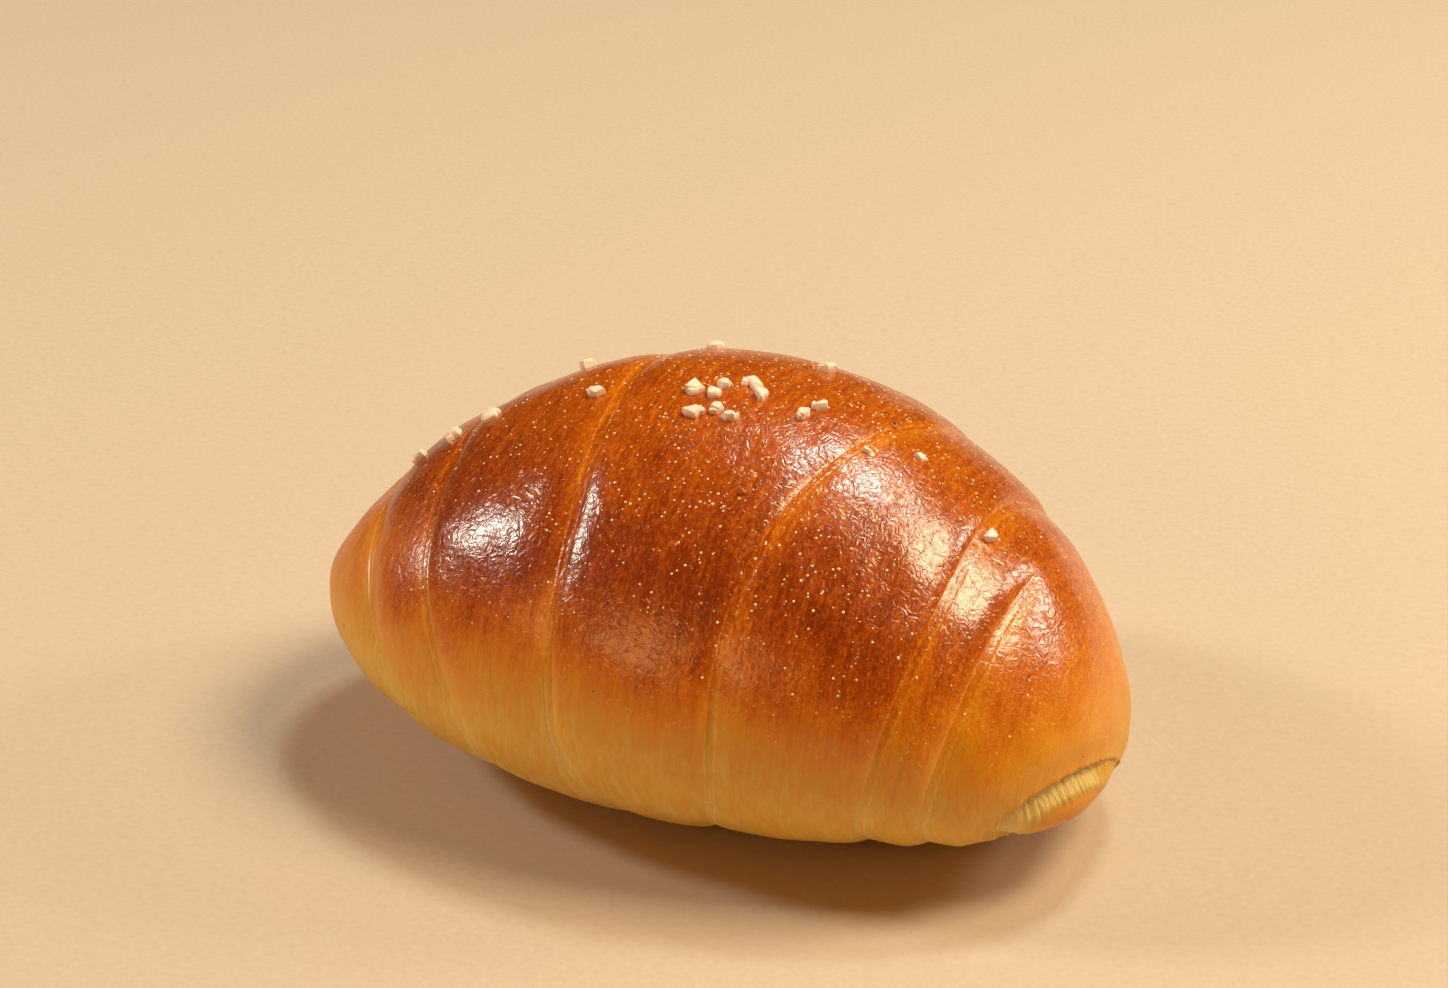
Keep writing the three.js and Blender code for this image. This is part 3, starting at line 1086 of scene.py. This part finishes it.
# %% Build the blisters
# A single blister is (station in mm, degrees of turn, radius in mm, rise as a share of it).
BLISTER_COUNT = 900
BLISTER_RADII = (0.1, 0.22)
BLISTER_RISE = 0.4
BLISTER_SEED = 17
BLISTER_STATIONS = (-46, 54, 20)
BLISTER_TURNS = (108, 250, 165)
GROWN_DOME = (8.9, 149.8, 0.72, 0.6)
BURST_RING = (22.4, 184.5, 0.5, 1.0)
BLISTER_COLOURS = ((0.92, 0.55, 0.20, 1), (1.0, 0.86, 0.60, 1))
BLISTER_TONE = (2.0, -0.5)
BLISTER_ROUGHNESS = (0.2, 0.1)


def build_blisters():
    """Every blister in one mesh; each is a small closed body of its own."""
    draw = random.Random(BLISTER_SEED)
    dome, ring = dome_shape(), ring_shape(RING_THICKNESS)
    wanted = [(dome, *GROWN_DOME), (ring, *BURST_RING)]
    for _ in range(BLISTER_COUNT):
        station = draw.triangular(*BLISTER_STATIONS)
        degrees = draw.triangular(*BLISTER_TURNS)
        wanted.append((dome, station, degrees, draw.uniform(*BLISTER_RADII), BLISTER_RISE))
    corners, faces = [], []
    for (shape, shape_faces), *setting in wanted:
        faces += [tuple(len(corners) + i for i in face) for face in shape_faces]
        corners += set_on_skin(shape, *setting).tolist()
    mesh = bpy.data.meshes.new("crust_blisters")
    mesh.from_pydata(corners, [], faces)
    mesh.polygons.foreach_set("use_smooth", [True] * len(mesh.polygons))
    grown = len(dome[1]) + len(ring[1])
    mesh.polygons.foreach_set("material_index", [int(i < grown) for i in range(len(mesh.polygons))])
    return mesh


def blister_material():
    material, tree, shader = new_material("blister_glaze")
    place = place_in_mm(tree)
    tone = add_node(tree, "ShaderNodeTexNoise", {"Vector": place, "Scale": 0.9, "Detail": 2.0}).outputs[0]
    lighter = maths(tree, "MULTIPLY_ADD", tone, *BLISTER_TONE, clamp=True)
    colour = blend_colour(tree, lighter, *BLISTER_COLOURS)
    tree.links.new(colour, shader.inputs["Base Color"])
    tree.links.new(maths(tree, "MULTIPLY_ADD", tone, *BLISTER_ROUGHNESS), shader.inputs["Roughness"])
    shader.inputs["Coat Weight"].default_value = 0.6
    shader.inputs["Coat Roughness"].default_value = 0.08
    return material


blister_mesh = build_blisters()
blister_mesh.materials.append(blister_material())
blister_mesh.materials.append(crust)
crust_blisters = bpy.data.objects.new("crust_blisters", blister_mesh)
bpy.context.scene.collection.objects.link(crust_blisters)
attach(crust_blisters, "root")
print("blisters:", BLISTER_COUNT + 2, "with", len(blister_mesh.polygons), "faces")

# %% [markdown]
# ## Salt
# Coarse baking salt is crushed rock salt: chips with flat broken faces, whose corners started to
# dissolve in the wet egg wash. A cube with bevels would look cut. Two overlapping convex chips,
# remeshed as one body, give the flat faces, the notches and the softened corners together.

# %% Crystal shape
SALT_SINK = 0.3
SALT_THICKNESS = 1.55
SALT_VOXEL = 0.06
DISSOLVED = {15: 0.55, 16: 0.6}
CHIP_SIDES = (4, 5, 5, 6)
CHIP_REACH = (0.85, 1.3)
CHIP_SHRINK = (0.6, 1.0)
CHIP_TOP = (0.5, 1.0)
CHIP_LEAN = 0.15
CORNER_SWING = 0.3
WAIST_SWING = 0.2
WAIST_SWELL = 1.04
MAIN_CHIP = (1.06, 1.22, 1.0)
SIDE_CHIP = (0.62, 0.6, 0.7)
MAIN_CHIP_AT = 0.1
SIDE_CHIP_AT = 0.34
SIDE_CHIP_DROP = -0.12
SIDE_CHIP_SWING = 0.25
MAIN_CHIP_TURN = 0.2
SIDE_CHIP_TURN = 3


def chip(into, draw, size, centre, turn):
    """Adds a broken chip: an uneven plate whose top is smaller than its foot, and tilted."""
    sides = draw.choice(CHIP_SIDES)
    rotation = Matrix.Rotation(turn, 3, "Z")
    shear = Vector((draw.uniform(-CHIP_LEAN, CHIP_LEAN), draw.uniform(-CHIP_LEAN, CHIP_LEAN)))
    points = []
    for corner in range(sides):
        angle = 2 * math.pi * (corner + draw.uniform(-CORNER_SWING, CORNER_SWING)) / sides
        reach = draw.uniform(*CHIP_REACH)
        shrink = draw.uniform(*CHIP_SHRINK)
        top = draw.uniform(*CHIP_TOP)
        x, y = math.cos(angle) * reach, math.sin(angle) * reach
        waist = draw.uniform(-WAIST_SWING, WAIST_SWING)
        points += [Vector((x, y, -1)), Vector((x * WAIST_SWELL, y * WAIST_SWELL, waist))]
        points.append(Vector((x * shrink + shear.x, y * shrink + shear.y, top)))
    placed = [centre + rotation @ Vector([c * s / 2 for c, s in zip(point, size)]) for point in points]
    made = [into.verts.new(point) for point in placed]
    hull = bmesh.ops.convex_hull(into, input=made)
    inner = [v for v in hull["geom_interior"] if isinstance(v, bmesh.types.BMVert)]
    bmesh.ops.delete(into, geom=inner, context="VERTS")


def crystal_mesh(name, length, width, seed):
    """A crystal lying flat, in mm, as one closed body made of two chips."""
    draw = random.Random(seed)
    chips = bmesh.new()
    side = draw.choice((-1, 1))
    whole = np.array((length, width, SALT_THICKNESS))
    main_at = Vector((-side * length * MAIN_CHIP_AT, 0, 0))
    chip(chips, draw, whole * MAIN_CHIP, main_at, draw.uniform(-MAIN_CHIP_TURN, MAIN_CHIP_TURN))
    swing = draw.uniform(-SIDE_CHIP_SWING, SIDE_CHIP_SWING) * width
    side_at = Vector((side * length * SIDE_CHIP_AT, swing, SIDE_CHIP_DROP))
    chip(chips, draw, whole * SIDE_CHIP, side_at, draw.uniform(0, SIDE_CHIP_TURN))
    mesh = bpy.data.meshes.new(name)
    chips.to_mesh(mesh)
    chips.free()
    rough = bpy.data.objects.new(name + "_rough", mesh)
    bpy.context.scene.collection.objects.link(rough)
    remesh = rough.modifiers.new("remesh", "REMESH")
    remesh.mode = "VOXEL"
    remesh.voxel_size = SALT_VOXEL
    view = bpy.context.evaluated_depsgraph_get()
    finished = bpy.data.meshes.new_from_object(rough.evaluated_get(view))
    finished.name = name
    bpy.data.objects.remove(rough)
    return finished


def lying_frame(points):
    """The centre, main directions and sizes of a CAD crystal, longest first, from its corners."""
    centre = (points.max(axis=0) + points.min(axis=0)) / 2
    spread = points - points.mean(axis=0)
    _, _, axes = np.linalg.svd(spread, full_matrices=False)
    sizes = [float(np.ptp(spread @ axis)) for axis in axes]
    return centre, axes, sizes


print("crystals are", SALT_THICKNESS, "mm thick and lie", SALT_SINK, "mm deep in the skin")

# %% [markdown]
# ## Salt material
# Baking salt is milky: light goes a little way in and comes out softer, and the broken faces are
# slightly rough. Clear glass would look like candy, so this is a pale shader with a cloudy warm
# colour, a little light under the surface and a fine bump.

# %% Salt material
SALT_COLOURS = ((0.94, 0.67, 0.51, 1), (1.0, 0.81, 0.71, 1))
SALT_GRAIN = 0.06 * MM
SALT_ROUGHNESS = (0.3, 0.22)


def salt_material():
    material, tree, shader = new_material("coarse_salt")
    place = place_in_mm(tree)
    cloud = add_node(tree, "ShaderNodeTexNoise", {"Vector": place, "Scale": 1.1, "Detail": 3.0}).outputs[0]
    colour = blend_colour(tree, cloud, *SALT_COLOURS)
    tree.links.new(colour, shader.inputs["Base Color"])
    grain = add_node(tree, "ShaderNodeTexNoise", {"Vector": place, "Scale": 3.5, "Detail": 3.0}).outputs[0]
    bump = add_node(tree, "ShaderNodeBump", {"Height": grain, "Strength": 1.0, "Distance": SALT_GRAIN})
    tree.links.new(bump.outputs[0], shader.inputs["Normal"])
    tree.links.new(maths(tree, "MULTIPLY_ADD", cloud, *SALT_ROUGHNESS), shader.inputs["Roughness"])
    shader.inputs["Subsurface Weight"].default_value = 0.25
    shader.inputs["Subsurface Radius"].default_value = (1.0, 0.7, 0.45)
    shader.inputs["Subsurface Scale"].default_value = 0.5 * MM
    return material


salt = salt_material()
print("salt material:", len(salt.node_tree.nodes), "nodes")

# %% [markdown]
# ## Placing the crystals
# The CAD holds a plain stand-in for every crystal. Its corners give a centre, two main directions
# and two sizes, and the skin's nearest point gives the way up. So each crystal lies flat on the
# crust where its stand-in was, pressed in a little; two had begun to dissolve and lie deeper.

# %% Place the crystals
CRYSTAL_SEED = 100


def place_crystal(node, number):
    """Builds one crystal and presses it into the skin where its CAD node lies."""
    points = np.array([v.co for v in node.data.vertices])
    centre, axes, sizes = lying_frame(points)
    spot, up, _, _ = skin_surface.find_nearest(Vector(centre))
    along = Vector(axes[0]) - up * up.dot(Vector(axes[0]))
    along.normalize()
    name = f"salt_crystal_{number:02d}"
    mesh = crystal_mesh(name, sizes[0] / MM, sizes[1] / MM, CRYSTAL_SEED + number)
    turn = Matrix((along, up.cross(along), up)).transposed()
    rest = spot + up * (SALT_THICKNESS / 2 - SALT_SINK - DISSOLVED.get(number, 0)) * MM
    mesh.transform(Matrix.Translation(rest) @ turn.to_4x4() @ Matrix.Scale(MM, 4))
    mesh.polygons.foreach_set("use_smooth", [True] * len(mesh.polygons))
    mesh.materials.clear()
    mesh.materials.append(salt)
    crystal = bpy.data.objects.new(mesh.name, mesh)
    bpy.context.scene.collection.objects.link(crystal)
    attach(crystal, "root")
    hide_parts(node.name)
    return crystal


grain_nodes = [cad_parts[name] for name in sorted(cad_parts) if name.startswith("salt_grain_")]
crystals = [place_crystal(node, number + 1) for number, node in enumerate(grain_nodes)]
print(len(crystals), "crystals,", sum(len(c.data.polygons) for c in crystals), "faces")
